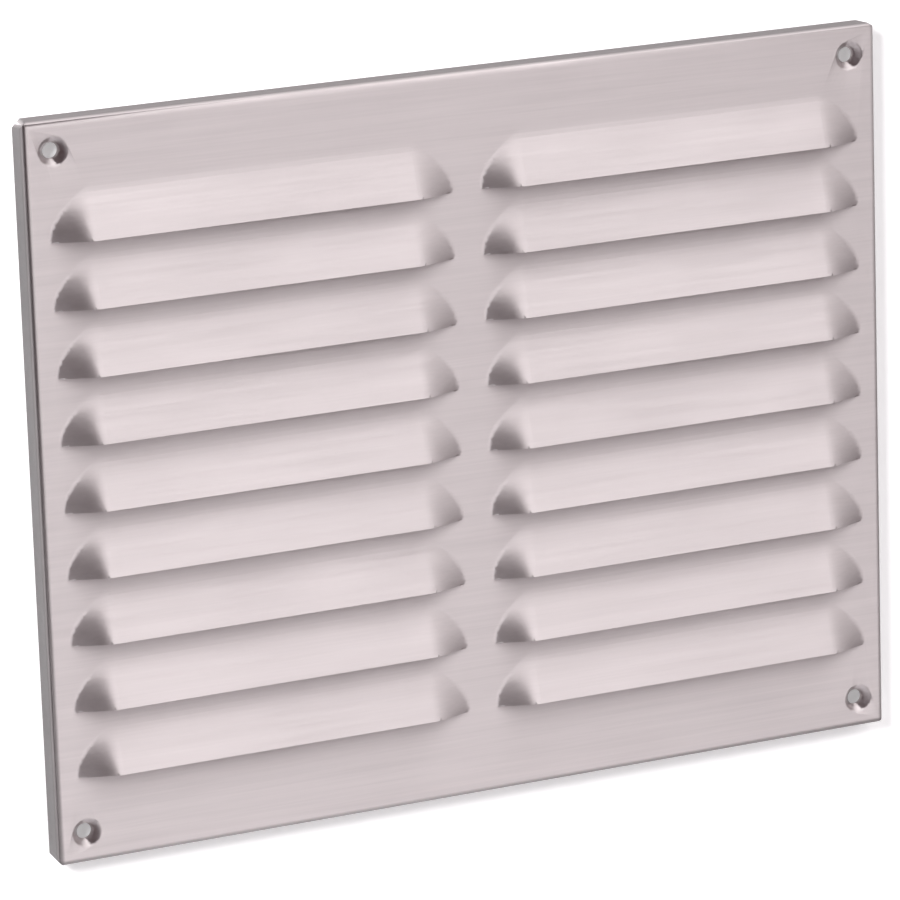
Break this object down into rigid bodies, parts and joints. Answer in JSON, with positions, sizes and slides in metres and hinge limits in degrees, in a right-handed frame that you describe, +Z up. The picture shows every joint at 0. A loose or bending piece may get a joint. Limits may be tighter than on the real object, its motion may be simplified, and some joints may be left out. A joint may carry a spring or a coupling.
{
  "type": "louvred vent grille",
  "caption": "Rectangular vent grille pressed from one aluminium sheet, with rows of hooded louvres, folded edges and countersunk screw holes in its corners.",
  "frame": {"origin": "centre of the four screw holes, in the plane where their straight walls end at the rear; the rear rim that meets the wall is 4.05 mm behind it", "axes": "+X to the right along the louvres, +Z up, the louvred face looks along -Y and the wall is on the +Y side"},
  "size_m": [0.25, 0.011, 0.2],
  "materials": {
    "aluminium_sheet": "satin mill finish, fine rolled grain across the width"
  },
  "bodies": {
    "root": {"louvre_panel": "aluminium_sheet"}
  },
  "joints": []
}
